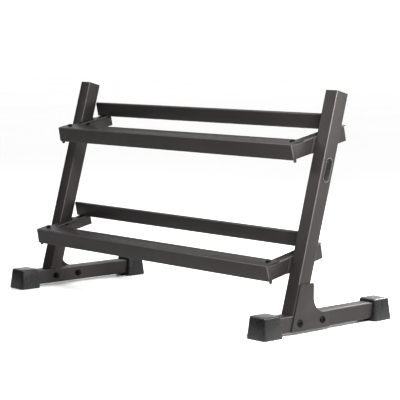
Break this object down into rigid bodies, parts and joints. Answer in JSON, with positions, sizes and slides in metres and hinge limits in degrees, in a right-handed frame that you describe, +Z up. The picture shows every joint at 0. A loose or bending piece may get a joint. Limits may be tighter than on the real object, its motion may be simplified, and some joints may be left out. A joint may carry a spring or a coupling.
{
  "type": "dumbbell rack",
  "caption": "Free-standing two-tier rack of leaning square-tube uprights on rubber-booted feet, with tilted angle-rail trays for hexagonal dumbbells.",
  "frame": {"origin": "on the floor, under the middle of the four boots", "axes": "+X to the rack's right-hand end as seen from the front, -Y to the front, where the trays slope down, +Z up"},
  "size_m": [1.31, 0.565, 0.7316],
  "materials": {
    "frame_paint": "satin dark grey-brown powder coat",
    "boot_rubber": "semi-matt moulded rubber",
    "black_steel": "black oxide, slightly glossy",
    "plug_plastic": "matt black",
    "badge_plastic": "gloss black, blank"
  },
  "bodies": {
    "root": {"foot_tube_left": "frame_paint", "foot_tube_right": "frame_paint", "upright_left": "frame_paint", "upright_right": "frame_paint", "gusset_plate_left": "frame_paint", "gusset_plate_right": "frame_paint", "lower_front_rail": "frame_paint", "lower_stop_rail": "frame_paint", "upper_front_rail": "frame_paint", "upper_stop_rail": "frame_paint", "lower_end_plate_left": "frame_paint", "lower_end_plate_right": "frame_paint", "lower_bracket_left": "frame_paint", "lower_bracket_right": "frame_paint", "upper_end_plate_left": "frame_paint", "upper_end_plate_right": "frame_paint", "upper_bracket_left": "frame_paint", "upper_bracket_right": "frame_paint", "front_boot_left": "boot_rubber", "front_boot_right": "boot_rubber", "rear_boot_left": "boot_rubber", "rear_boot_right": "boot_rubber", "gusset_bolt_front_left": "black_steel", "gusset_bolt_front_right": "black_steel", "gusset_bolt_rear_left": "black_steel", "gusset_bolt_rear_right": "black_steel", "gusset_nut_front_left": "black_steel", "gusset_nut_front_right": "black_steel", "gusset_nut_rear_left": "black_steel", "gusset_nut_rear_right": "black_steel", "lower_hanger_bolt_low_left": "black_steel", "lower_hanger_bolt_low_right": "black_steel", "lower_hanger_bolt_high_left": "black_steel", "lower_hanger_bolt_high_right": "black_steel", "upper_hanger_bolt_low_left": "black_steel", "upper_hanger_bolt_low_right": "black_steel", "upper_hanger_bolt_high_left": "black_steel", "upper_hanger_bolt_high_right": "black_steel", "lower_corner_bolt_front_left": "black_steel", "lower_corner_bolt_front_right": "black_steel", "lower_corner_bolt_back_left": "black_steel", "lower_corner_bolt_back_right": "black_steel", "lower_corner_nut_front_left": "black_steel", "lower_corner_nut_front_right": "black_steel", "lower_corner_nut_back_left": "black_steel", "lower_corner_nut_back_right": "black_steel", "upper_corner_bolt_front_left": "black_steel", "upper_corner_bolt_front_right": "black_steel", "upper_corner_bolt_back_left": "black_steel", "upper_corner_bolt_back_right": "black_steel", "upper_corner_nut_front_left": "black_steel", "upper_corner_nut_front_right": "black_steel", "upper_corner_nut_back_left": "black_steel", "upper_corner_nut_back_right": "black_steel", "upright_plug_left": "plug_plastic", "upright_plug_right": "plug_plastic", "badge": "badge_plastic"}
  },
  "joints": []
}
